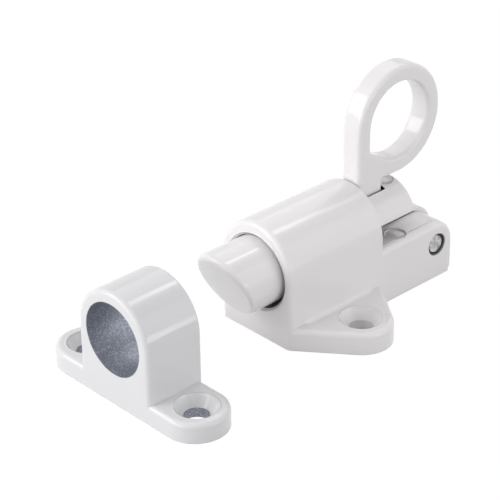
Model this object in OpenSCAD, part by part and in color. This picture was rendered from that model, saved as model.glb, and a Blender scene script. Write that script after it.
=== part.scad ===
// Spring bolt latch with a pull ring, and the keeper that its bolt shoots into.
// X runs from the bolt's nose to the tail, Y across the latch, Z up from the mounting face.
// The origin is midway between the latch's two screw holes, on the mounting face.

/* [Housing] */
// Length of the housing along the bolt
housing_len = 25; // [22:0.5:32]
// Width of the housing and of the tail block
housing_w = 18.9; // [18:0.1:22]
// Height of the barrel's centre line
barrel_z = 14.4; // [13.8:0.1:16]
// Height of the bore's centre line
bore_z = 13.6; // [13.2:0.1:14.4]
// Thickness of the rear wall that the spring pushes against
rear_wall = 3; // [2:0.1:5]
// Rounding of the front rim
rim_round = 1; // [0.5:0.1:1.5]
// Rounding of the rear rim
rear_round = 0.5; // [0.2:0.1:1]
// Bevel round the mouth of the bore
mouth_bevel = 0.4; // [0.2:0.1:0.8]

/* [Flange and screw holes] */
// Thickness of the two screw ears
flange_t = 4.5; // [3.5:0.1:5.5]
// Distance between the two screw holes
screw_spacing = 30.2; // [29:0.1:36]
// Distance of the screw holes behind the front face
screw_back = 13.2; // [11:0.1:15]
// Radius of an ear round its screw hole
ear_r = 6.3; // [5.5:0.1:7]
// Rounding of the ears' top edge
ear_round = 1; // [0.4:0.1:1.5]
// Soft corner where an ear meets the housing's side
wall_fillet = 0.8; // [0.3:0.1:1.2]
// Diameter of a screw hole
screw_hole_d = 4.8; // [4:0.1:5.5]
// Diameter of a countersink's mouth
countersink_d = 8.4; // [7:0.1:9]
// Depth of a countersink
countersink_depth = 2; // [1.5:0.1:2.5]

/* [Tail] */
// Length of the tail block behind the housing
tail_len = 20.3; // [19:0.1:24]
// Height of the tail block
tail_h = 12; // [11:0.1:12.6]
// Rounding of the tail's top rear corner, seen from the side
tail_corner_r = 5; // [3:0.1:6]
// Rounding of the tail's other edges
tail_round = 1.2; // [0.5:0.1:1.8]
// Diameter of the round mould marks
mark_d = 4.4; // [3:0.1:4.8]
// Depth of the round mould marks
mark_depth = 0.25; // [0.1:0.05:0.4]
// Distance of the tail's mould marks behind the housing
mark_back = 6.6; // [5:0.1:9]
// Distance of the tail's mould marks from the tail's sides
mark_side = 3.1; // [2.8:0.1:3.6]

/* [Bolt] */
// Diameter of the bolt
bolt_d = 14; // [12.5:0.1:14.6]
// Play of the bolt in its bore, on the radius
bolt_play = 0.5; // [0.2:0.05:0.8]
// Gap over the bolt, under the top of the bore and of the keeper's hole
bolt_top_gap = 0.1; // [0.05:0.05:0.15]
// Reach of the bolt past the front face at rest
bolt_reach = 11.6; // [9:0.1:14]
// Slope of the nose's bevel, from upright
bevel_angle = 25.6; // [15:0.5:35]
// Rounding of the nose's edge
nose_round = 0.9; // [0.4:0.1:1.4]
// Length of the full round part inside the housing
guide_len = 9; // [7:0.1:9.5]
// Height of the rear bar's flat underside above the bolt's centre line
bar_rise = 1.5; // [1:0.1:2.5]
// Length of the rear bar behind the housing at rest
bar_back = 11.8; // [10.5:0.1:12]
// Rounding of the bolt's rear edge
bar_round = 0.7; // [0.3:0.1:1]
// Travel of the bolt as the ring is pulled back
bolt_travel = 11.4; // [9:0.1:11.6]

/* [Pull ring lever] */
// Thickness of the lever
lever_t = 4.8; // [4:0.1:5.4]
// Side clearance of the lever in its slots
lever_play = 0.35; // [0.2:0.05:0.5]
// Outer diameter of the ring
ring_d = 22.6; // [20:0.1:24]
// Width of the ring's band
ring_band = 3.4; // [2.8:0.1:4]
// Height of the ring's centre
ring_z = 33.7; // [33.5:0.1:38]
// Drop of the finger hole's sharp corner below the ring's centre
corner_drop = 4.6; // [3:0.1:6]
// Rounding of the lever's edges
lever_round = 0.9; // [0.4:0.1:1.2]
// Width of the foot that goes down through the bolt
foot_w = 6.7; // [5.5:0.1:7]
// Gap between the lever and the housing's rear face, and before and behind its foot in the bolt
foot_gap = 0.25; // [0.15:0.05:0.4]
// Radius of the hub round the pin
hub_r = 5.5; // [4.5:0.1:5.6]
// Height of the arm's heel at the housing
heel_z = 10.5; // [9:0.1:11.5]

/* [Pivot pin] */
// Diameter of the pin
pin_d = 4; // [3:0.1:4.6]
// Height of the pin's centre line
pin_z = 7.4; // [7:0.1:8]
// Distance of the pin from the tail's rear face
pin_back = 4.8; // [4:0.1:6]
// Clearance of the pin in the lever's hub, on the radius
pin_play = 0.06; // [0.03:0.01:0.09]
// Depth of the pin's ends below the tail's sides
pin_recess = 0.35; // [0.2:0.05:0.6]
// Bevel round the pin's ends
pin_bevel = 0.25; // [0.1:0.05:0.5]

/* [Spring] */
// Outside diameter of the spring
spring_d = 6.4; // [5.5:0.1:6.6]
// Diameter of the spring's wire
wire_d = 0.8; // [0.6:0.05:1]
// Number of turns
spring_turns = 10; // [8:1:12]
// Gap between the closer turns at each end
end_turn_gap = 0.5; // [0.5:0.05:0.7]
// Depth of the spring's pocket in the bolt's round part
pocket_depth = 10; // [8:0.1:12]
// Clearance round the spring in its pocket
pocket_play = 0.4; // [0.2:0.05:0.5]

/* [Keeper] */
// Depth of the keeper along the bolt
keeper_depth = 12.7; // [10:0.1:14]
// Width of the keeper's arch
keeper_w = 19.2; // [18.2:0.1:21]
// Length of the keeper across both ears
keeper_len = 42.4; // [42:0.1:50]
// Thickness of the keeper's ears
keeper_ear_t = 4; // [3.5:0.1:5]
// Play of the bolt in the keeper, on the radius
keeper_play = 0.3; // [0.25:0.05:0.6]
// Free distance between the bolt's nose and the keeper
keeper_gap = 11; // [3:0.5:20]

/* [Hidden] */
$fn = 96;
// Extra length of a cut or a joint between two solids
over = 0.5;
// A side that touches a round surface runs this far inside it
hair = 0.01;
// Length that a straight band runs into the next one
lap = 0.3;
enamel = "#f1f0ee";
bare_steel = "#a9aaac";

screw_y = screw_spacing / 2;
ear_strip = ear_r - 2 * ear_round;
tail_end = housing_len + tail_len;
bore_r = bolt_d / 2 + bolt_play;
// The lever's arm and the spring hold the bolt near the top of its play
bolt_z = bore_z + bolt_play - bolt_top_gap;
bolt_r = bolt_d / 2;
bar_z = bolt_z + bar_rise;
bar_end = housing_len + bar_back;
pin_x = tail_end - pin_back;
slot_w = lever_t + 2 * lever_play;
lever_front = housing_len + foot_gap;
foot_back = lever_front + foot_w;
arm_top = pin_z + hub_r;

ring_r = ring_d / 2;
finger_r = ring_r - ring_band;
ring_x = lever_front + ring_r;
ring_low = ring_z - ring_r;

spring_r = (spring_d - wire_d) / 2;
pocket_r = spring_d / 2 + pocket_play;
// The spring runs just under the rear bar
spring_z = bar_z - pocket_play - spring_d / 2;
spring_front = guide_len - pocket_depth;
spring_back = housing_len - rear_wall;

keeper_z = bolt_z + bolt_top_gap - keeper_play;
keeper_hole_r = bolt_r + keeper_play;
keeper_front = -(bolt_reach + keeper_gap + keeper_depth);
keeper_end_r = keeper_depth / 2;

// Moves a piece drawn from the housing's front face to the part's own origin
module from_front_face() {
    translate([-screw_back, 0, 0]) children();
}

// Turns an outline drawn in X and Z into a plate across the latch
module side_plate(width) {
    rotate([90, 0, 0]) linear_extrude(width, center = true) children();
}

// Half section of a round or square bar from its axis, with both outer corners rounded
module rim_outline(half, len, front_r, back_r) {
    translate([0, front_r]) square([half, len - front_r - back_r]);
    translate([0, 0]) square([half - front_r, len / 2]);
    if (front_r > 0) translate([half - front_r, front_r]) circle(front_r);
    translate([0, len / 2]) square([half - back_r, len / 2]);
    translate([half - back_r, len - back_r]) circle(back_r);
}

// Half section of a slab from its middle, with its outer top corner rounded
module slab_outline(half, height, round) {
    square([half - round, height]);
    square([half, height - round]);
    translate([half - round, height - round]) circle(round);
}

// Arch of the housing and the keeper: round above its centre line, straight below
module arch(len, width, centre_z, front_r, back_r) {
    translate([0, 0, centre_z]) rotate([0, 90, 0])
        rotate_extrude() rim_outline(width / 2, len, front_r, back_r);
    linear_extrude(centre_z) for (side = [0, 1]) mirror([0, side])
        rotate(-90) rim_outline(width / 2, len, front_r, back_r);
}

// Countersunk screw hole through a slab of the given thickness
module screw_hole(thickness) {
    slope = (countersink_d - screw_hole_d) / (2 * countersink_depth);
    translate([0, 0, -over]) cylinder(d = screw_hole_d, h = thickness + 2 * over);
    translate([0, 0, thickness - countersink_depth])
        cylinder(d1 = screw_hole_d, d2 = countersink_d + 2 * slope * over, h = countersink_depth + over);
}

// Strip along one side of an ear, tangent to the housing's rounded corner and to the ear's round end
module ear_side(start, along, len, turn) {
    translate(start) rotate(along) mirror([0, turn > 0 ? 1 : 0]) rotate([90, 0, 90]) linear_extrude(len)
        translate([ear_strip + hair, 0]) mirror([1, 0]) slab_outline(ear_strip, flange_t, ear_round);
}

// One screw ear, on the +Y side, drawn without its hole
module ear() {
    centre = [screw_back, screw_y];
    // The housing's front and rear corners, seen from above, each with its radius
    corners = [
        [rim_round, housing_w / 2 - rim_round, rim_round],
        [housing_len - rear_round, housing_w / 2 - rear_round, rear_round]
    ];
    reach = [for (c = corners) centre - [c.x, c.y]];
    swing = [for (k = [0, 1]) asin((ear_r - corners[k].z) / norm(reach[k]))];
    turn = [1, -1];
    along = [for (k = [0, 1]) atan2(reach[k].y, reach[k].x) + turn[k] * swing[k]];
    out = [for (k = [0, 1]) let (a = along[k] + 90 * turn[k]) [cos(a), sin(a)]];
    start = [for (k = [0, 1]) [corners[k].x, corners[k].y] + corners[k].z * out[k]];
    translate(centre) rotate_extrude() slab_outline(ear_r, flange_t, ear_round);
    for (k = [0, 1]) ear_side(start[k], along[k], norm(reach[k]) * cos(swing[k]), turn[k]);
    // Flat middle, which laps over the inner edge of each strip
    middle_in = ear_strip - over;
    linear_extrude(flange_t) polygon([
        start[0] - middle_in * out[0], centre + (ear_r - middle_in) * out[0],
        centre + (ear_r - middle_in) * out[1], start[1] - middle_in * out[1]
    ]);
    // Soft corner against the housing's side
    intersection() {
        translate([0, housing_w / 2, flange_t]) rotate([90, 0, 90]) linear_extrude(housing_len)
            difference() {
                translate([-over, -over]) square(wall_fillet + over);
                translate([wall_fillet, wall_fillet]) circle(wall_fillet);
            }
        linear_extrude(tail_h) polygon([
            start[0] - (ear_round + over) * out[0], centre, start[1] - (ear_round + over) * out[1]
        ]);
    }
}

// Side outline of the tail, drawn in by inset, with its lower rear corner rounded by low_r
module tail_outline(inset, low_r) {
    start = housing_len - over;
    back = tail_end - inset;
    corner_x = tail_end - tail_corner_r;
    corner_z = tail_h - tail_corner_r;
    translate([start, 0]) square([corner_x - start, tail_h - inset]);
    translate([start, low_r]) square([back - start, corner_z - low_r]);
    translate([corner_x, corner_z]) circle(tail_corner_r - inset);
    translate([start, 0]) square([back - low_r - start, corner_z]);
    if (low_r > 0) translate([back - low_r, low_r]) circle(low_r);
}

// Tail block with all its outer edges rounded
module tail_block() {
    corner_x = tail_end - tail_corner_r;
    corner_z = tail_h - tail_corner_r;
    side_plate(housing_w - 2 * tail_round) tail_outline(0, tail_round);
    side_plate(housing_w) tail_outline(tail_round, 0);
    for (side = [-1, 1]) translate([0, side * (housing_w / 2 - tail_round), 0]) {
        translate([housing_len - over, 0, tail_h - tail_round]) rotate([0, 90, 0])
            cylinder(r = tail_round, h = corner_x - housing_len + over);
        translate([corner_x, 0, corner_z]) rotate([90, 0, 0]) rotate_extrude(angle = 90)
            translate([tail_corner_r - tail_round, 0]) circle(tail_round);
        translate([tail_end - tail_round, 0, tail_round]) {
            cylinder(r = tail_round, h = corner_z - tail_round);
            sphere(tail_round);
        }
    }
}

// Round mould mark, cut down from a surface
module mould_mark(depth) {
    translate([0, 0, -depth]) cylinder(d = mark_d, h = depth + over);
}

module housing() {
    mark_y = housing_w / 2 - mark_side;
    color(enamel) from_front_face() difference() {
        union() {
            arch(housing_len, housing_w, barrel_z, rim_round, rear_round);
            ear();
            mirror([0, 1, 0]) ear();
            tail_block();
        }
        // Bore, and the window in the rear wall that the bolt's rear bar slides through
        translate([-over, 0, bore_z]) rotate([0, 90, 0]) cylinder(r = bore_r, h = spring_back + over);
        translate([-over, 0, bore_z]) rotate([0, 90, 0])
            cylinder(r1 = bore_r + mouth_bevel + over, r2 = bore_r, h = mouth_bevel + over);
        intersection() {
            translate([spring_back - over, 0, bore_z]) rotate([0, 90, 0])
                cylinder(r = bore_r, h = rear_wall + 2 * over);
            translate([0, -bore_r, bar_z - foot_gap]) cube([tail_end, 2 * bore_r, bore_r]);
        }
        for (side = [-1, 1]) translate([screw_back, side * screw_y, 0]) screw_hole(flange_t);
        // Slot between the tail's two cheeks
        translate([housing_len, -slot_w / 2, -over]) cube([tail_len + over, slot_w, tail_h + 2 * over]);
        translate([pin_x, housing_w, pin_z]) rotate([90, 0, 0]) cylinder(d = pin_d, h = 2 * housing_w);
        // Dark ring round each end of the pin
        for (side = [-1, 1]) translate([pin_x, side * (housing_w / 2 - pin_recess), pin_z])
            rotate([-90 * side, 0, 0]) cylinder(d = pin_d + 2 * pin_recess, h = pin_recess + over);
        for (side = [-1, 1]) translate([housing_len + mark_back, side * mark_y, tail_h]) mould_mark(mark_depth);
    }
}

// Points of the nose: a round base, the round side, and an edge that rolls over to the bevel.
// The nose is a hair slimmer than the bolt's round part, which it runs into inside the bore.
nose_sides = 72;
// Steps of the rolling edge
nose_steps = 6;
// Place of the nose's base behind the front face
nose_base = 1;
nose_turns = [for (i = [0:nose_sides - 1]) 360 * i / nose_sides];
nose_r = bolt_r - hair;
// Place of the rolling edge's centre at one turn round the bolt
function edge_centre(turn) =
    let (r = nose_r - nose_round, up = r * sin(turn))
    [-bolt_reach + tan(bevel_angle) * (nose_r - up) + nose_round / cos(bevel_angle), r * cos(turn), up];
// Direction from that centre to the surface, from the side (0) over to the bevel (1)
function edge_normal(turn, t) =
    let (
        side = [0, cos(turn), sin(turn)],
        bevel = [-cos(bevel_angle), 0, -sin(bevel_angle)],
        bend = acos(side * bevel)
    )
    (sin((1 - t) * bend) * side + sin(t * bend) * bevel) / sin(bend);
nose_rings = [
    [for (turn = nose_turns) [nose_base, nose_r * cos(turn), nose_r * sin(turn)]],
    for (k = [0:nose_steps])
        [for (turn = nose_turns) edge_centre(turn) + nose_round * edge_normal(turn, k / nose_steps)]
];

// Skin of triangles over rings of points, closed with a fan at each end
module ring_skin(rings) {
    sides = len(rings[0]);
    last = (len(rings) - 1) * sides;
    polyhedron(
        points = [for (ring = rings) each ring],
        faces = [
            for (k = [0:len(rings) - 2], i = [0:sides - 1])
                let (a = k * sides + i, b = k * sides + (i + 1) % sides)
                each [[a, b, b + sides], [a, b + sides, a + sides]],
            for (i = [1:sides - 2]) [0, i + 1, i],
            for (i = [1:sides - 2]) [last, last + i, last + i + 1]
        ]
    );
}

module bolt() {
    slot_front = lever_front - foot_gap - bolt_travel;
    slot_len = foot_back + foot_gap - slot_front;
    // The mould mark's floor clears the bar's round top all over
    bar_sag = bolt_r - sqrt(bolt_r * bolt_r - mark_d * mark_d / 4);
    color(enamel) from_front_face() translate([0, 0, bolt_z]) difference() {
        union() {
            ring_skin(nose_rings);
            translate([nose_base - over / 2, 0, 0]) rotate([0, 90, 0]) rotate_extrude()
                rim_outline(bolt_r, bar_end - nose_base + over / 2, 0, bar_round);
        }
        // Flat underside of the rear bar
        translate([guide_len, -bolt_d, bar_rise - 2 * bolt_d]) cube([bar_end, 2 * bolt_d, 2 * bolt_d]);
        // Slot for the lever's foot
        translate([slot_front, -slot_w / 2, 0]) cube([slot_len, slot_w, bolt_d]);
        // Pocket for the spring
        translate([spring_front, 0, spring_z - bolt_z]) rotate([0, 90, 0])
            cylinder(r = pocket_r, h = pocket_depth + over);
        translate([foot_back + foot_gap + mark_d / 2, 0, bolt_r]) mould_mark(bar_sag + mark_depth);
    }
}

// Section of the lever's band: its width by the lever's thickness, with round corners, drawn in by inset
module band_section(width, inset) {
    square([width - 2 * lever_round, lever_t - 2 * inset], center = true);
    square([width - 2 * inset, lever_t - 2 * lever_round], center = true);
    for (x = [-1, 1], y = [-1, 1])
        translate([x * (width / 2 - lever_round), y * (lever_t / 2 - lever_round)]) circle(lever_round - inset);
}

// Straight length of band from one point to another, in X and Z, with both ends run into its neighbours
module band(from, to, width) {
    along = to - from;
    rotate([90, 0, 0]) translate([from.x, from.y, 0]) rotate([0, 0, atan2(along.y, along.x)])
        translate([-lap, 0, 0]) rotate([90, 0, 90])
        linear_extrude(norm(along) + 2 * lap) band_section(width, hair);
}

module pull_lever() {
    half_band = ring_band / 2;
    flat_t = lever_t - 2 * hair;
    post_x = lever_front + half_band;
    // The finger hole's straight front side and slanting lower side both touch its circle
    corner = [lever_front + ring_band, ring_z - corner_drop];
    open = 2 * atan2(corner_drop, finger_r);
    slant = [cos(open - 90), sin(open - 90)];
    inward = [cos(open - 180), sin(open - 180)];
    slant_start = corner + half_band * inward;
    slant_end = slant_start + corner_drop * slant;
    // The heel's slanting underside touches the hub's circle
    pin_at = [pin_x, pin_z];
    arm_r = hub_r - hair;
    heel = [lever_front, heel_z];
    to_hub = pin_at - heel;
    heel_dir = atan2(to_hub.y, to_hub.x) - asin(arm_r / norm(to_hub));
    heel_touch = pin_at + arm_r * [sin(heel_dir), -cos(heel_dir)];
    foot_x = lever_front + foot_w / 2;
    foot_top = ring_low + ring_band;
    color(enamel) from_front_face() difference() {
        union() {
            translate([ring_x, 0, ring_z]) rotate([90, 0, 0]) rotate([0, 0, open - 180])
                rotate_extrude(angle = 360 - open) translate([finger_r + half_band, 0]) band_section(ring_band, 0);
            band([post_x, ring_z], [post_x, foot_top], ring_band);
            band(slant_start, slant_end, ring_band);
            band([post_x, ring_low + half_band], [ring_x, ring_low + half_band], ring_band);
            band([foot_x, foot_top], [foot_x, arm_top], foot_w - 2 * hair);
            side_plate(flat_t) polygon([
                [post_x, corner.y], [post_x, ring_low + half_band], [ring_x, ring_low + half_band],
                slant_end, slant_start
            ]);
            side_plate(flat_t) polygon([
                [lever_front, arm_top + over], heel, heel_touch, pin_at, pin_at + [0, arm_r],
                [foot_back, pin_z + arm_r], [foot_back, arm_top + over]
            ]);
            translate([pin_x, 0, pin_z]) rotate([90, 0, 0]) cylinder(r = hub_r, h = flat_t, center = true);
        }
        translate([pin_x, 0, pin_z]) rotate([90, 0, 0])
            cylinder(r = pin_d / 2 + pin_play, h = 2 * lever_t, center = true);
    }
}

module pivot_pin() {
    pin_r = pin_d / 2;
    half_len = housing_w / 2 - pin_recess;
    color(bare_steel) from_front_face() translate([pin_x, 0, pin_z]) rotate([90, 0, 0])
        rotate_extrude() polygon([
            [0, -half_len], [pin_r - pin_bevel, -half_len], [pin_r, pin_bevel - half_len],
            [pin_r, half_len - pin_bevel], [pin_r - pin_bevel, half_len], [0, half_len]
        ]);
}

// The spring's wire as one tube: closer turns at each end, even turns between
curl_rings = 8;
wire_sides = 6;
// Gap between the spring's ends and what they push against
end_gap = 0.1;
end_pitch = wire_d + end_turn_gap;
spring_len = spring_back - spring_front - wire_d - 2 * end_gap;
mid_pitch = (spring_len - 2 * end_pitch) / (spring_turns - 2);
function spring_x(turns) =
    turns < 1 ? turns * end_pitch
    : turns > spring_turns - 1 ? spring_len - (spring_turns - turns) * end_pitch
    : end_pitch + (turns - 1) * mid_pitch;
function wire_point(turns, radius, shift) =
    [spring_front + wire_d / 2 + end_gap + spring_x(turns) + shift,
     radius * cos(360 * turns), radius * sin(360 * turns)];
wire_stations = [for (i = [0:curl_rings * spring_turns]) i / curl_rings];
wire_centres = [for (u = wire_stations) wire_point(u, spring_r, 0)];
wire_rings = [
    for (u = wire_stations) [
        for (i = [0:wire_sides - 1])
            let (a = -360 * i / wire_sides)
            wire_point(u, spring_r + wire_d / 2 * cos(a), wire_d / 2 * sin(a))
    ]
];
least_gap = min([
    for (i = [0:len(wire_centres) - 1], j = [i + curl_rings - 2:1:len(wire_centres) - 1])
        norm(wire_centres[j] - wire_centres[i])
]) - wire_d;
echo(str("least gap between the spring's turns, mm: ", least_gap));

module bolt_spring() {
    color(bare_steel) from_front_face() translate([0, 0, spring_z]) ring_skin(wire_rings);
}

// Base of the keeper: a bar with rounded top edges and round ends
module keeper_base() {
    straight = keeper_len / 2 - keeper_end_r;
    translate([keeper_end_r, 0, 0]) for (side = [-1, 1]) {
        translate([0, side * straight, 0]) rotate_extrude()
            slab_outline(keeper_end_r, keeper_ear_t, ear_round);
        rotate([90, 0, 0]) linear_extrude(2 * straight, center = true) mirror([side > 0 ? 1 : 0, 0])
            slab_outline(keeper_end_r, keeper_ear_t, ear_round);
    }
}

module keeper() {
    color(enamel) from_front_face() translate([keeper_front, 0, 0]) difference() {
        union() {
            arch(keeper_depth, keeper_w, keeper_z, rim_round, rear_round);
            keeper_base();
        }
        translate([-over, 0, keeper_z]) rotate([0, 90, 0])
            cylinder(r = keeper_hole_r, h = keeper_depth + 2 * over);
        for (side = [-1, 1]) translate([keeper_end_r, side * screw_y, 0]) screw_hole(keeper_ear_t);
    }
}

housing();
bolt();
pull_lever();
pivot_pin();
bolt_spring();
keeper();
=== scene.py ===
"""Looks of a sprung bolt latch and its keeper.

White enamelled castings with bare bores, a bare steel pin, and a spring of drawn wire.
"""

import math

import bpy
from mathutils import Matrix, Vector


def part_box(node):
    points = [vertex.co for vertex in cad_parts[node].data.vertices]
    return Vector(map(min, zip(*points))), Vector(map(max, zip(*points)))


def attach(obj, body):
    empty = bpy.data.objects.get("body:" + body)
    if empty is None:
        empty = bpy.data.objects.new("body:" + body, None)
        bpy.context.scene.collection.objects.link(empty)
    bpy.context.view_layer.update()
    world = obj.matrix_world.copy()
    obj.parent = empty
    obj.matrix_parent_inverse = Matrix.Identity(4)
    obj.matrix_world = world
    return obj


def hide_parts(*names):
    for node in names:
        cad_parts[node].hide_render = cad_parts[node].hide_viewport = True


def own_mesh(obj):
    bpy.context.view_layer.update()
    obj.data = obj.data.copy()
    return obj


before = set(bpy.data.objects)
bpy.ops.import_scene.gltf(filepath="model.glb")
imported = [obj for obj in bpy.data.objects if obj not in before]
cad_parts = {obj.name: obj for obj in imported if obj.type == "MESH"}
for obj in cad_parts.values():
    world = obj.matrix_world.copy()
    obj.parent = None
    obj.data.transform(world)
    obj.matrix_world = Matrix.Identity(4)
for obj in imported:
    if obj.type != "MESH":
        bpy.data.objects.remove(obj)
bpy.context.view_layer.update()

MM = 0.001

# The camera at the photograph's viewing angle, for a square picture
CAMERA_PLACE = Vector((-249.22, -251.43, 213.48)) * MM
CAMERA_TARGET = Vector((-29.54, -15.99, 31.25)) * MM
CAMERA_ROLL = math.radians(-0.63)
CAMERA_LENS = 152.2
CAMERA_SENSOR = 36
CAMERA_NEAR = 0.01
CAMERA_FAR = 10

# Screw holes and their countersinks, the same on the housing and the keeper
SCREW_SIDE = 15.1 * MM
SCREW_HOLE_RADIUS = 2.4 * MM
SINK_RADIUS = 4.2 * MM

# The housing's bore, up to its rear wall, and the rim of its mouth
BORE_RADIUS = 7.5 * MM
BORE_HEIGHT = 13.6 * MM
BORE_END = 8.8 * MM
MOUTH_RADIUS = BORE_RADIUS + 0.5 * MM

# The keeper's bore, and its middle along X
KEEPER_BORE_RADIUS = 7.3 * MM
KEEPER_BORE_HEIGHT = 13.8 * MM
KEEPER_MIDDLE = -42.15 * MM

# The pin, the gap round it and the edge of its ends, both with near-black painted shade
PIN_PLACE = Vector((27.3, 0, 7.4)) * MM
PIN_RADIUS = 2 * MM
PIN_GAP = 0.33 * MM
PIN_FACE_RADIUS = 0.88 * PIN_RADIUS
PIN_FACE_EDGE = 0.12 * MM

# The bolt's rear bar, from the end of its round guide, and the slot in the bar, where near-black
# shade is painted under the bar and in the slot
GUIDE_END = -4.1 * MM
BAR_END = 23.7 * MM
BAR_HEIGHT = 15.5 * MM
BAR_TOP = 20.9 * MM
BAR_EDGE = 0.12 * MM
SLOT_FRONT = 0.3 * MM
SLOT_BACK = 19.04 * MM
SLOT_SIDE = 2.79 * MM

# Round mould marks, one on each cheek of the tail and one on the bar
MARK_RADIUS = 2.2 * MM
TAIL_MARK = Vector((18.4, 6.35, 0)) * MM
BAR_MARK = Vector((21.2, 0, 0)) * MM

# The spring's wire, and its turns, which lie closer at both ends
WIRE_RADIUS = 0.4 * MM
WIRE_ROUNDNESS = 4
SPRING_TURNS = 10
TURN_POINTS = 32
END_PITCH = 1.3 * MM
SMOOTH_ANGLE = math.radians(50)

# Enamel: its gloss and skin, the bead it leaves on a rim, and the edges it softens
ENAMEL_COLOUR = (0.80, 0.778, 0.785, 1)
# The keeper's enamel is the same enamel, a touch cooler, and painted darker as shade for the dimmer
# light on the keeper
KEEPER_SHADED_ENAMEL_COLOUR = (0.705, 0.705, 0.72, 1)
ENAMEL_ROUGHNESS = 0.11
ENAMEL_GLOSS = 0.42
ENAMEL_RELIEF = 0.004 * MM
PEEL_SHARE = 0.22
BEAD_WIDTH = 0.30 * MM
BEAD_HEIGHT = 0.14 * MM
BEAD_CROWN = 0.9
BEAD_ROUNDING = 0.3
EDGE_RADIUS = 0.25 * MM
EDGE_SAMPLES = 6
# Near-black painted shade, for the gap round the pin, under the bolt's bar, in its slot and on the
# edge of the pin's ends
PAINTED_SHADE_COLOUR = (0.015, 0.015, 0.017, 1)

# Bare casting: its grains and blotches, and the glints painted lighter on some grains. Its relief
# is a multiple of the enamel's.
CASTING_COLOUR = (0.25, 0.265, 0.316, 1)
PAINTED_GLINT_COLOUR = (0.48, 0.51, 0.575, 1)
CASTING_ROUGHNESS = 0.42
CASTING_METAL = 0.60
CASTING_RELIEF = 7.0
PAINTED_GLINT_POWER = 3.0
BLOTCH_DARK = 0.90
BLOTCH_RANGE = 0.30
GRAIN_TILT = 0.5

# Turned steel, and drawn wire. The dark and light shades are multiples of the colour.
STEEL_COLOUR = (0.52, 0.52, 0.53, 1)
STEEL_DARK = 0.45
STEEL_LIGHT = 1.15
STEEL_ROUGHNESS = 0.35
STEEL_ROUGHNESS_RANGE = 0.25
STEEL_RELIEF = 0.02 * MM
SMUDGE_CONTRAST = 3.0
LATHE_PITCH = 0.16 * MM
LATHE_DEPTH = 0.35
WIRE_COLOUR = (0.38, 0.38, 0.40, 1)
WIRE_DARK = 0.7
WIRE_ROUGHNESS = 0.2
WIRE_ROUGHNESS_RANGE = 0.2

# The floor, a hair below the object, and the studio's even light
FLOOR_SIZE = 3.0
FLOOR_DROP = 0.02 * MM
FLOOR_PAINT = (0.55, 0.55, 0.55, 1)
FLOOR_WHITE = 1.09
FLOOR_WHITE_SHARE = 0.88
WHITE = (1, 1, 1, 1)
WORLD_LEVEL = 0.38

# Each lamp's place and size in metres, and its power in watts. All of them face LAMP_AIM.
LAMP_AIM = Vector((0, 0, 0.01))
LAMPS = {
    "end_softbox": ((-0.62, -0.10, 0.30), (0.50, 0.40), 0.4),
    "low_softbox": ((-0.66, 0.10, 0.13), (0.36, 0.26), 1.1),
    "corner_softbox": ((-0.52, 0.36, 0.30), (0.40, 0.40), 2.25),
    "top_softbox": ((0, 0, 0.70), (0.50, 0.50), 0.4),
    "back_softbox": ((0.42, 0.23, 0.50), (0.58, 0.56), 0.95),
    "streak_spot": ((0.391, 0.042, 0.612), (0.11, 0.12), 0.17),
    "side_softbox": ((0.24, -0.42, 0.16), (0.60, 0.50), 0.80),
    "side_strip": ((0.10, -0.60, 0.06), (0.50, 0.12), 0.62),
    "rim_spot": ((-0.12, 0.45, 0.36), (0.04, 0.04), 0.06),
    "face_spot": ((-0.30, 0.12, 0.50), (0.04, 0.04), 0.06),
}

# The directions across a line along X, Y or Z
ALONG_X = (0, 1, 1)
ALONG_Y = (1, 0, 1)
ALONG_Z = (1, 1, 0)

# The soft edge of a mask
MASK_EDGE = 0.04 * MM


def make_camera():
    """Stands the camera at the photograph's viewing angle."""
    data = bpy.data.cameras.new("photo_camera")
    data.lens = CAMERA_LENS
    data.sensor_width = CAMERA_SENSOR
    data.clip_start = CAMERA_NEAR
    data.clip_end = CAMERA_FAR
    camera = bpy.data.objects.new("photo_camera", data)
    bpy.context.scene.collection.objects.link(camera)
    look = (CAMERA_TARGET - CAMERA_PLACE).to_track_quat("-Z", "Y").to_matrix()
    roll = Matrix.Rotation(CAMERA_ROLL, 3, "Z")
    camera.location = CAMERA_PLACE
    camera.rotation_euler = (look @ roll).to_euler()
    bpy.context.scene.camera = camera


def add_node(tree, kind, inputs=None, **settings):
    """Adds a shader node.

    Settings are its properties. Inputs are values or sockets, by the input's name or number.
    """
    made = tree.nodes.new(kind)
    for name, value in settings.items():
        setattr(made, name, value)
    for name, value in (inputs or {}).items():
        if isinstance(value, bpy.types.NodeSocket):
            tree.links.new(value, made.inputs[name])
        else:
            made.inputs[name].default_value = value
    return made


def math_node(tree, operation, *values, clamp=False):
    """The result of a Math node over numbers or sockets."""
    inputs = dict(enumerate(values))
    return add_node(tree, "ShaderNodeMath", inputs, operation=operation, use_clamp=clamp).outputs[0]


def mix_values(tree, share, first, second):
    """From the first number or socket to the second, by a share."""
    inputs = {0: share, 2: first, 3: second}
    return add_node(tree, "ShaderNodeMix", inputs, data_type="FLOAT").outputs[0]


def mix_colours(tree, share, first, second, blend="MIX"):
    """From the first colour or socket to the second, by a share."""
    inputs = {0: share, 6: first, 7: second}
    made = add_node(tree, "ShaderNodeMix", inputs, data_type="RGBA", blend_type=blend)
    return made.outputs[2]


def on_piece(tree):
    """Object coordinates, in which a pattern rides with its piece."""
    return add_node(tree, "ShaderNodeTexCoord").outputs["Object"]


def noise(tree, scale, detail, roughness):
    """Noise on the piece. The scale is in waves for each metre."""
    inputs = {"Vector": on_piece(tree), "Scale": scale, "Detail": detail, "Roughness": roughness}
    return add_node(tree, "ShaderNodeTexNoise", inputs).outputs[0]


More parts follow.
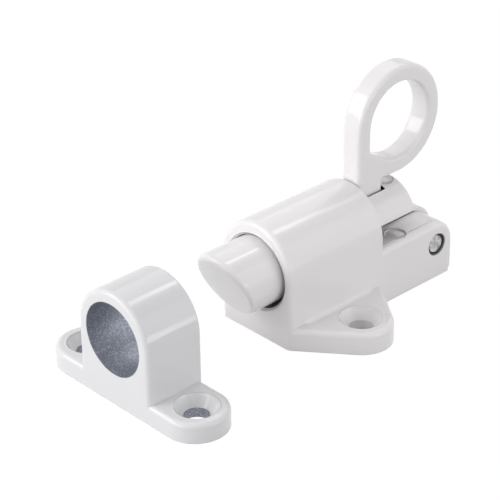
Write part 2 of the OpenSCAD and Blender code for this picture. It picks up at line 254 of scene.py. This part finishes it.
def new_group(name, inputs, outputs):
    """An empty shader node group with its input and output nodes.

    Inputs give each socket's kind and value, outputs give its kind.
    """
    group = bpy.data.node_groups.new(name, "ShaderNodeTree")
    for socket, (kind, value) in inputs.items():
        made = group.interface.new_socket(socket, in_out="INPUT", socket_type="NodeSocket" + kind)
        made.default_value = value
    for socket, kind in outputs.items():
        group.interface.new_socket(socket, in_out="OUTPUT", socket_type="NodeSocket" + kind)
    return group, group.nodes.new("NodeGroupInput"), group.nodes.new("NodeGroupOutput")


def place_group(tree, group, inputs=None):
    """Puts a node group in a material, with its own values."""
    return add_node(tree, "ShaderNodeGroup", inputs, node_tree=group)


def distance_group():
    """Distance of the surface from a straight line through a point, along X, Y or Z."""
    group, given, result = new_group(
        "distance_from_axis",
        {"Point": ("Vector", (0, 0, 0)), "Across": ("Vector", ALONG_X)},
        {"Distance": "Float"},
    )
    ends = {0: on_piece(group), 1: given.outputs["Point"]}
    offset = add_node(group, "ShaderNodeVectorMath", ends, operation="SUBTRACT")
    factors = {0: offset.outputs[0], 1: given.outputs["Across"]}
    flat = add_node(group, "ShaderNodeVectorMath", factors, operation="MULTIPLY")
    length = add_node(group, "ShaderNodeVectorMath", {0: flat.outputs[0]}, operation="LENGTH")
    group.links.new(length.outputs["Value"], result.inputs["Distance"])
    return group


def enamel_group():
    """Sprayed enamel: the slow ripple of its skin, its fine peel, and a faint change of tone."""
    group, given, result = new_group(
        "enamel_skin",
        {"Tone Range": ("Float", 0.03), "Gloss Range": ("Float", 0.06)},
        {"Tone": "Float", "Roughness Change": "Float", "Height": "Float"},
    )
    ripple = noise(group, scale=420, detail=1.5, roughness=0.45)
    peel = noise(group, scale=1900, detail=1.0, roughness=0.5)
    drift = noise(group, scale=70, detail=2.0, roughness=0.5)
    height = math_node(group, "MULTIPLY_ADD", peel, PEEL_SHARE, ripple)
    centred = math_node(group, "SUBTRACT", drift, 0.5)
    tone = math_node(group, "MULTIPLY_ADD", centred, given.outputs["Tone Range"], 1.0)
    fine = math_node(group, "SUBTRACT", ripple, 0.5)
    gloss = math_node(group, "MULTIPLY", fine, given.outputs["Gloss Range"])
    group.links.new(tone, result.inputs["Tone"])
    group.links.new(gloss, result.inputs["Roughness Change"])
    group.links.new(height, result.inputs["Height"])
    return group


def casting_group():
    """Bare sand-blasted casting: grains with painted glints, over blotches of darker metal."""
    group, given, result = new_group(
        "bare_casting",
        {"Grain Scale": ("Float", 5200.0)},
        {"Shade": "Float", "Painted Glint": "Float", "Height": "Float"},
    )
    scale = given.outputs["Grain Scale"]
    grain = noise(group, scale=scale, detail=3.0, roughness=0.7)
    blotch = noise(group, scale=260, detail=3.0, roughness=0.6)
    inputs = {"Vector": on_piece(group), "Scale": scale}
    facets = add_node(group, "ShaderNodeTexVoronoi", inputs, feature="F1")
    lit = add_node(group, "ShaderNodeSeparateColor", {0: facets.outputs["Color"]})
    painted_glint = math_node(group, "POWER", lit.outputs[0], PAINTED_GLINT_POWER)
    shade = math_node(group, "MULTIPLY_ADD", blotch, BLOTCH_RANGE, BLOTCH_DARK)
    tilt = math_node(group, "MULTIPLY", lit.outputs[1], GRAIN_TILT)
    height = math_node(group, "ADD", grain, tilt)
    group.links.new(shade, result.inputs["Shade"])
    group.links.new(painted_glint, result.inputs["Painted Glint"])
    group.links.new(height, result.inputs["Height"])
    return group


DISTANCE = distance_group()
ENAMEL = enamel_group()
CASTING = casting_group()


def distance_from(tree, point, across):
    """Distance of the surface from a line through a point."""
    return place_group(tree, DISTANCE, {"Point": point, "Across": across}).outputs["Distance"]


def place_along(tree, axis):
    """The surface's place along X, Y or Z."""
    return add_node(tree, "ShaderNodeSeparateXYZ", {0: on_piece(tree)}).outputs[axis]


def below(tree, value, limit, soft=MASK_EDGE):
    """Mask that is 1 where a value is below a limit, with a soft edge."""
    return math_node(tree, "MULTIPLY_ADD", value, -1 / soft, (limit + soft) / soft, clamp=True)


def inside(tree, point, across, radius, soft=MASK_EDGE):
    """Mask of the surface that lies within a radius of a line."""
    return below(tree, distance_from(tree, point, across), radius, soft)


def within(tree, axis, low, high):
    """Mask of the surface between two places along X, Y or Z."""
    along = place_along(tree, axis)
    start = (MASK_EDGE - low) / MASK_EDGE
    past = math_node(tree, "MULTIPLY_ADD", along, 1 / MASK_EDGE, start, clamp=True)
    return math_node(tree, "MULTIPLY", past, below(tree, along, high))


def either(tree, masks):
    """The largest of some masks or heights."""
    total = masks[0]
    for mask in masks[1:]:
        total = math_node(tree, "MAXIMUM", total, mask)
    return total


def every(tree, masks):
    """Mask of the surface that all of some masks cover."""
    total = masks[0]
    for mask in masks[1:]:
        total = math_node(tree, "MULTIPLY", total, mask)
    return total


def beads(tree, rims):
    """Height of the soft bead that enamel leaves round each rim.

    A rim is a point, the way it faces and a radius.
    """
    heights = []
    for point, across, radius in rims:
        off = math_node(tree, "SUBTRACT", distance_from(tree, point, across), radius)
        off = math_node(tree, "ABSOLUTE", off)
        near = math_node(tree, "MULTIPLY_ADD", off, -1 / BEAD_WIDTH, 1.0, clamp=True)
        heights.append(math_node(tree, "SMOOTH_MIN", near, BEAD_CROWN, BEAD_ROUNDING))
    return either(tree, heights)


def new_material(name):
    """A material, its node tree and its Principled shader."""
    material = bpy.data.materials.new(name)
    material.use_nodes = True
    tree = material.node_tree
    return material, tree, tree.nodes["Principled BSDF"]


def add_relief(tree, shader, height, depth, normal=None):
    """Bumps a surface by a height, over softened edges where their normal is given."""
    inputs = {"Strength": 1.0, "Distance": depth, "Height": height}
    if normal is not None:
        inputs["Normal"] = normal
    bump = add_node(tree, "ShaderNodeBump", inputs)
    tree.links.new(bump.outputs[0], shader.inputs["Normal"])


def enamel(name, colour, bare=None, gap=None, rims=None, sharp=True):
    """Glossy sprayed enamel over a casting.

    Bare and gap are functions that make the masks of uncoated metal and of the gaps where
    near-black shade is painted. Rims are the round edges where the coat builds up into a bead.
    Where a casting has sharp edges, the coat softens them.
    """
    material, tree, shader = new_material(name)
    skin = place_group(tree, ENAMEL)
    tint = mix_colours(tree, 1, colour, skin.outputs["Tone"], "MULTIPLY")
    roughness = math_node(tree, "ADD", skin.outputs["Roughness Change"], ENAMEL_ROUGHNESS)
    height = skin.outputs["Height"]
    if rims is not None:
        rise = BEAD_HEIGHT / ENAMEL_RELIEF
        height = math_node(tree, "MULTIPLY_ADD", beads(tree, rims), rise, height)
    if bare is not None:
        mask = bare(tree)
        casting = place_group(tree, CASTING)
        # Painted glints: some grains painted lighter than the bare metal
        metal = mix_colours(tree, casting.outputs["Painted Glint"], CASTING_COLOUR, PAINTED_GLINT_COLOUR)
        metal = mix_colours(tree, 1, metal, casting.outputs["Shade"], "MULTIPLY")
        tint = mix_colours(tree, mask, tint, metal)
        roughness = mix_values(tree, mask, roughness, CASTING_ROUGHNESS)
        sand = math_node(tree, "MULTIPLY", casting.outputs["Height"], CASTING_RELIEF)
        height = mix_values(tree, mask, height, sand)
        metallic = math_node(tree, "MULTIPLY", mask, CASTING_METAL)
        tree.links.new(metallic, shader.inputs["Metallic"])
    if gap is not None:
        # Painted shade: near black where the gap mask covers
        tint = mix_colours(tree, gap(tree), tint, PAINTED_SHADE_COLOUR)
    tree.links.new(tint, shader.inputs["Base Color"])
    tree.links.new(roughness, shader.inputs["Roughness"])
    shader.inputs["Specular IOR Level"].default_value = ENAMEL_GLOSS
    normal = None
    if sharp:
        edge = add_node(tree, "ShaderNodeBevel", {"Radius": EDGE_RADIUS}, samples=EDGE_SAMPLES)
        normal = edge.outputs[0]
    add_relief(tree, shader, height, ENAMEL_RELIEF, normal)
    return material


def housing_bare(tree):
    """The housing's bore is uncoated, up to the rear wall's inner face."""
    bore = inside(tree, (0, 0, BORE_HEIGHT), ALONG_X, BORE_RADIUS)
    return math_node(tree, "MULTIPLY", bore, below(tree, place_along(tree, "X"), BORE_END))


def pin_gap_painted_shade(tree):
    """Painted shade in the gap round the pin: a near-black ring on the edge of its hole."""
    return inside(tree, PIN_PLACE, ALONG_Y, PIN_RADIUS + PIN_GAP)


def keeper_bare(tree):
    """The keeper's bore and the straight part of its screw holes are uncoated."""
    masks = [inside(tree, (0, 0, KEEPER_BORE_HEIGHT), ALONG_X, KEEPER_BORE_RADIUS)]
    for side in (-1, 1):
        hole = (KEEPER_MIDDLE, side * SCREW_SIDE, 0)
        masks.append(inside(tree, hole, ALONG_Z, SCREW_HOLE_RADIUS))
    return either(tree, masks)


def bolt_painted_shade(tree):
    """Painted shade under the bolt's bar and in its slot, where the lever leaves a gap."""
    underside = [
        within(tree, "X", GUIDE_END, BAR_END),
        within(tree, "Z", BAR_HEIGHT - 2 * BAR_EDGE, BAR_HEIGHT + BAR_EDGE),
    ]
    slot = [
        within(tree, "X", SLOT_FRONT, SLOT_BACK),
        within(tree, "Y", -SLOT_SIDE, SLOT_SIDE),
        within(tree, "Z", BAR_HEIGHT, BAR_TOP),
    ]
    return either(tree, [every(tree, underside), every(tree, slot)])


def shade_of(colour, level):
    """A colour made darker or lighter."""
    return (*(level * part for part in colour[:3]), 1)


def turned_steel():
    """The pin: bare smudged steel, its ends with fine rings from the lathe and painted shade on
    their edge.
    """
    material, tree, shader = new_material("turned_steel")
    radius = distance_from(tree, PIN_PLACE, ALONG_Y)
    grain = noise(tree, scale=2600, detail=3.0, roughness=0.6)
    turns = math_node(tree, "MULTIPLY", radius, 2 * math.pi / LATHE_PITCH)
    rings = math_node(tree, "SINE", turns)
    height = math_node(tree, "MULTIPLY_ADD", rings, LATHE_DEPTH, grain)
    smudge = noise(tree, scale=1500, detail=3.0, roughness=0.6)
    start = (1 - SMUDGE_CONTRAST) / 2
    contrast = math_node(tree, "MULTIPLY_ADD", smudge, SMUDGE_CONTRAST, start, clamp=True)
    dark, light = shade_of(STEEL_COLOUR, STEEL_DARK), shade_of(STEEL_COLOUR, STEEL_LIGHT)
    tint = mix_colours(tree, contrast, dark, light)
    # Painted shade: near black on the pin outside its end face
    face = inside(tree, PIN_PLACE, ALONG_Y, PIN_FACE_RADIUS, PIN_FACE_EDGE)
    tint = mix_colours(tree, face, PAINTED_SHADE_COLOUR, tint)
    roughness = math_node(tree, "MULTIPLY_ADD", grain, STEEL_ROUGHNESS_RANGE, STEEL_ROUGHNESS)
    tree.links.new(tint, shader.inputs["Base Color"])
    tree.links.new(roughness, shader.inputs["Roughness"])
    shader.inputs["Metallic"].default_value = 1
    add_relief(tree, shader, height, STEEL_RELIEF)
    return material


def spring_wire():
    """Drawn spring wire: dull steel with a thin film of oil."""
    material, tree, shader = new_material("spring_wire")
    film = noise(tree, scale=900, detail=3.0, roughness=0.5)
    tint = mix_colours(tree, film, shade_of(WIRE_COLOUR, WIRE_DARK), WIRE_COLOUR)
    roughness = math_node(tree, "MULTIPLY_ADD", film, WIRE_ROUGHNESS_RANGE, WIRE_ROUGHNESS)
    tree.links.new(tint, shader.inputs["Base Color"])
    tree.links.new(roughness, shader.inputs["Roughness"])
    shader.inputs["Metallic"].default_value = 1
    return material


def coat(node, material):
    """Gives a CAD node its one material."""
    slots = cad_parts[node].data.materials
    slots.clear()
    slots.append(material)


def finish_castings():
    """Each casting, and the pin, gets its own finish."""
    sinks, keeper_sinks, tail_marks = [], [], []
    for side in (-1, 1):
        across = side * SCREW_SIDE
        sinks.append(((0, across, 0), ALONG_Z, SINK_RADIUS))
        keeper_sinks.append(((KEEPER_MIDDLE, across, 0), ALONG_Z, SINK_RADIUS))
        tail_marks.append(((TAIL_MARK.x, side * TAIL_MARK.y, 0), ALONG_Z, MARK_RADIUS))
    mouth = ((0, 0, BORE_HEIGHT), ALONG_X, MOUTH_RADIUS)
    rims = [*sinks, mouth, *tail_marks]
    bar_mark = (BAR_MARK, ALONG_Z, MARK_RADIUS)
    coat("housing", enamel("housing_enamel", ENAMEL_COLOUR, housing_bare, pin_gap_painted_shade, rims))
    coat("keeper", enamel("keeper_enamel_painted_shade", KEEPER_SHADED_ENAMEL_COLOUR, keeper_bare, rims=keeper_sinks))
    coat("bolt", enamel("bolt_enamel", ENAMEL_COLOUR, gap=bolt_painted_shade, rims=[bar_mark]))
    coat("pull_lever", enamel("lever_enamel", ENAMEL_COLOUR, sharp=False))
    coat("pivot_pin", turned_steel())


def coil_spring():
    """The bolt's spring, as drawn wire.

    It follows the CAD spring's turns.
    """
    low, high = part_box("bolt_spring")
    middle = (low + high) / 2
    radius = (high.z - low.z) / 2 - WIRE_RADIUS
    first = low.x + WIRE_RADIUS
    length = high.x - low.x - 2 * WIRE_RADIUS
    pitch = (length - 2 * END_PITCH) / (SPRING_TURNS - 2)
    curve = bpy.data.curves.new("bolt_spring_wire", "CURVE")
    curve.dimensions = "3D"
    curve.bevel_depth = WIRE_RADIUS
    curve.bevel_resolution = WIRE_ROUNDNESS
    curve.use_fill_caps = True
    line = curve.splines.new("POLY")
    line.points.add(SPRING_TURNS * TURN_POINTS)
    for i, point in enumerate(line.points):
        turn = i / TURN_POINTS
        if turn < 1:
            along = turn * END_PITCH
        elif turn > SPRING_TURNS - 1:
            along = length - (SPRING_TURNS - turn) * END_PITCH
        else:
            along = END_PITCH + (turn - 1) * pitch
        angle = 2 * math.pi * turn
        side, up = radius * math.cos(angle), radius * math.sin(angle)
        point.co = (first + along, side, middle.z + up, 1)
    piece = bpy.data.objects.new("bolt_spring_wire", curve)
    bpy.context.scene.collection.objects.link(piece)
    bpy.ops.object.select_all(action="DESELECT")
    piece.select_set(True)
    bpy.context.view_layer.objects.active = piece
    bpy.ops.object.convert(target="MESH")
    bpy.ops.object.shade_smooth_by_angle(angle=SMOOTH_ANGLE)
    piece = bpy.context.view_layer.objects.active
    piece.data.materials.append(spring_wire())
    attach(piece, "root")
    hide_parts("bolt_spring")
    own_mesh(piece)


def background_seen(tree):
    """1 where the camera, a reflection or a clear body sees the background, and else 0."""
    rays = add_node(tree, "ShaderNodeLightPath").outputs
    kinds = ("Is Camera Ray", "Is Glossy Ray", "Is Transmission Ray")
    return either(tree, [rays[kind] for kind in kinds])


def make_floor():
    """A plain pale floor that shows white to the camera and keeps the latch's shadow."""
    bpy.ops.object.select_all(action="DESELECT")
    bpy.ops.mesh.primitive_plane_add(size=FLOOR_SIZE, location=(0, 0, -FLOOR_DROP))
    floor = bpy.context.view_layer.objects.active
    floor.name = "floor"
    material = bpy.data.materials.new("pale_floor")
    material.use_nodes = True
    tree = material.node_tree
    tree.nodes.clear()
    paint = add_node(tree, "ShaderNodeBsdfDiffuse", {"Color": FLOOR_PAINT})
    white = add_node(tree, "ShaderNodeEmission", {"Color": WHITE, "Strength": FLOOR_WHITE})
    share = math_node(tree, "MULTIPLY", background_seen(tree), FLOOR_WHITE_SHARE)
    inputs = {0: share, 1: paint.outputs[0], 2: white.outputs[0]}
    mix = add_node(tree, "ShaderNodeMixShader", inputs)
    add_node(tree, "ShaderNodeOutputMaterial", {"Surface": mix.outputs[0]})
    floor.data.materials.append(material)


def make_world():
    """Even studio light all round, white where the camera or a reflection sees it."""
    world = bpy.data.worlds.new("studio")
    bpy.context.scene.world = world
    world.use_nodes = True
    tree = world.node_tree
    background = tree.nodes["Background"]
    level = mix_values(tree, background_seen(tree), WORLD_LEVEL, 1.0)
    tree.links.new(level, background.inputs["Strength"])
    background.inputs["Color"].default_value = WHITE


def light_studio():
    """Softboxes at the keeper's end, above, behind and along the side, and three small spots.

    The spots draw the streak on the barrel and the sparkles on the rims.
    """
    for name, (place, size, power) in LAMPS.items():
        data = bpy.data.lights.new(name, "AREA")
        data.shape = "RECTANGLE"
        data.size, data.size_y = size
        data.energy = power
        lamp = bpy.data.objects.new(name, data)
        bpy.context.scene.collection.objects.link(lamp)
        lamp.location = place
        look = LAMP_AIM - Vector(place)
        lamp.rotation_euler = look.to_track_quat("-Z", "Y").to_euler()


make_camera()
finish_castings()
coil_spring()
make_floor()
make_world()
light_studio()
bpy.context.scene.view_settings.view_transform = "Standard"
